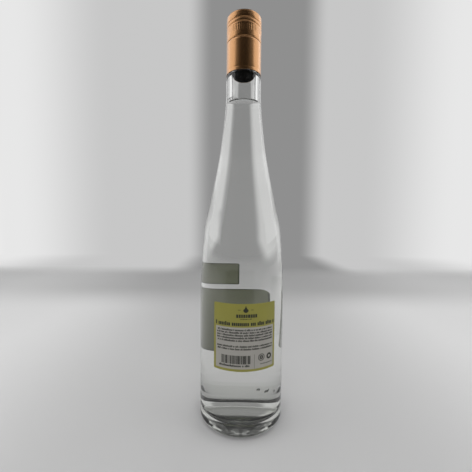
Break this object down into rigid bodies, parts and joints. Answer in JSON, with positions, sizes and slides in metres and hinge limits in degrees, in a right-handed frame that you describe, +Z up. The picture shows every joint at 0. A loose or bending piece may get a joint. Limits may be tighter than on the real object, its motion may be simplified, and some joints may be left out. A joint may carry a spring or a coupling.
{
  "type": "pear brandy bottle",
  "caption": "Tall clear glass spirit bottle filled with colourless pear brandy, with a copper-coloured screw cap and paper labels.",
  "frame": {"origin": "middle of the base, at the height of the surface that the bottle stands on", "axes": "+Z up along the bottle's axis; -Y towards the side that carries the back label, +X to the right when that side is faced"},
  "size_m": [0.0746, 0.0748, 0.3507],
  "materials": {
    "clear_glass": "clear flint glass, polished",
    "spirit": "clear colourless liquid",
    "copper_aluminium": "satin copper lacquer",
    "back_label_paper": "coated label paper with printed fields",
    "front_label_paper": "uncoated label paper, grey back"
  },
  "bodies": {
    "root": {"bottle": "clear_glass", "spirit": "spirit", "screw_cap": "copper_aluminium", "back_label": "back_label_paper", "front_label": "front_label_paper", "strip_label": "front_label_paper"}
  },
  "joints": []
}
